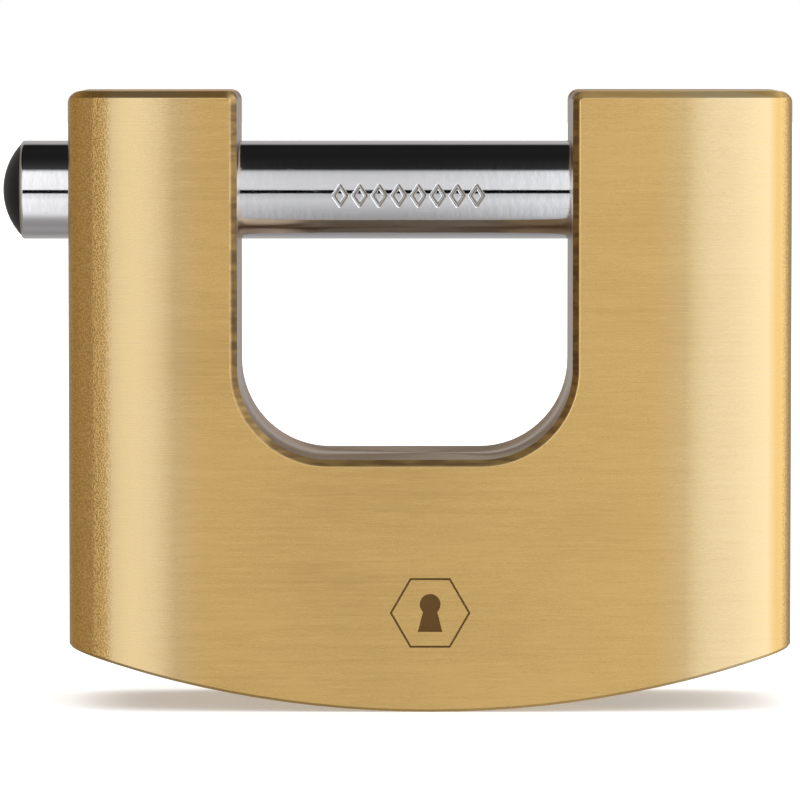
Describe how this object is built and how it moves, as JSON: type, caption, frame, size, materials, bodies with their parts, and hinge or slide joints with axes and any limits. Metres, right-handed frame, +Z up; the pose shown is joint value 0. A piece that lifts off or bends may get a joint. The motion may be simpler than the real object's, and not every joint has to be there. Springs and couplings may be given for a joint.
{
  "type": "shutter padlock",
  "caption": "Solid brass shutter padlock: a gapped block closed by a sliding hardened bolt, with the key's cylinder set in its curved underside.",
  "frame": {"origin": "on the bolt's axis, half way across the gap and half way through the block", "axes": "+X to the right along the bolt, +Y from the front face to the rear face, +Z up from the underside to the top"},
  "size_m": [0.0877, 0.024, 0.0685],
  "materials": {
    "brushed_brass": "brushed along the length",
    "chromed_steel": "polished",
    "black_nylon": "satin",
    "dowel_steel": "ground",
    "turned_brass": "turned",
    "plated_steel": "zinc plated",
    "pin_brass": "turned",
    "spring_wire": "drawn"
  },
  "bodies": {
    "housing": {"body": "brushed_brass", "guide_pin": "dowel_steel", "plug_retainer": "dowel_steel", "sealing_plug_1": "turned_brass", "sealing_plug_2": "turned_brass", "sealing_plug_3": "turned_brass", "sealing_plug_4": "turned_brass", "sealing_plug_5": "turned_brass", "pin_spring_1": "spring_wire", "pin_spring_2": "spring_wire", "pin_spring_3": "spring_wire", "pin_spring_4": "spring_wire", "pin_spring_5": "spring_wire"},
    "bolt_assembly": {"bolt": "chromed_steel", "bolt_cap": "black_nylon"},
    "cylinder": {"plug": "turned_brass", "cam": "plated_steel"},
    "key_pin_body_1": {"key_pin_1": "pin_brass"},
    "driver_body_1": {"driver_pin_1": "dowel_steel"},
    "key_pin_body_2": {"key_pin_2": "pin_brass"},
    "driver_body_2": {"driver_pin_2": "dowel_steel"},
    "key_pin_body_3": {"key_pin_3": "pin_brass"},
    "driver_body_3": {"driver_pin_3": "dowel_steel"},
    "key_pin_body_4": {"key_pin_4": "pin_brass"},
    "driver_body_4": {"driver_pin_4": "dowel_steel"},
    "key_pin_body_5": {"key_pin_5": "pin_brass"},
    "driver_body_5": {"driver_pin_5": "dowel_steel"}
  },
  "joints": [
    {"name": "bolt_slide", "type": "slide", "parent": "housing", "child": "bolt_assembly", "axis": [-1, 0, 0], "range_m": [0, 0.0535]},
    {"name": "plug_turn", "type": "hinge", "parent": "housing", "child": "cylinder", "pos_m": [0.026, 0, -0.04], "axis": [0, 0, 1], "range_deg": [-180, 0]},
    {"name": "key_pin_slide_1", "type": "slide", "parent": "cylinder", "child": "key_pin_body_1", "axis": [1, 0, 0], "range_m": [0, 0.00201]},
    {"name": "driver_slide_1", "type": "slide", "parent": "housing", "child": "driver_body_1", "axis": [1, 0, 0], "range_m": [0, 0.0017], "stiffness_N_per_m": 100, "springref_m": -0.003, "deforming": ["pin_spring_1"]},
    {"name": "key_pin_slide_2", "type": "slide", "parent": "cylinder", "child": "key_pin_body_2", "axis": [1, 0, 0], "range_m": [0, 0.00081]},
    {"name": "driver_slide_2", "type": "slide", "parent": "housing", "child": "driver_body_2", "axis": [1, 0, 0], "range_m": [0, 0.0017], "stiffness_N_per_m": 100, "springref_m": -0.003, "deforming": ["pin_spring_2"]},
    {"name": "key_pin_slide_3", "type": "slide", "parent": "cylinder", "child": "key_pin_body_3", "axis": [1, 0, 0], "range_m": [0, 0.00161]},
    {"name": "driver_slide_3", "type": "slide", "parent": "housing", "child": "driver_body_3", "axis": [1, 0, 0], "range_m": [0, 0.0017], "stiffness_N_per_m": 100, "springref_m": -0.003, "deforming": ["pin_spring_3"]},
    {"name": "key_pin_slide_4", "type": "slide", "parent": "cylinder", "child": "key_pin_body_4", "axis": [1, 0, 0], "range_m": [0, 0.00051]},
    {"name": "driver_slide_4", "type": "slide", "parent": "housing", "child": "driver_body_4", "axis": [1, 0, 0], "range_m": [0, 0.0017], "stiffness_N_per_m": 100, "springref_m": -0.003, "deforming": ["pin_spring_4"]},
    {"name": "key_pin_slide_5", "type": "slide", "parent": "cylinder", "child": "key_pin_body_5", "axis": [1, 0, 0], "range_m": [0, 0.00131]},
    {"name": "driver_slide_5", "type": "slide", "parent": "housing", "child": "driver_body_5", "axis": [1, 0, 0], "range_m": [0, 0.0017], "stiffness_N_per_m": 100, "springref_m": -0.003, "deforming": ["pin_spring_5"]}
  ]
}
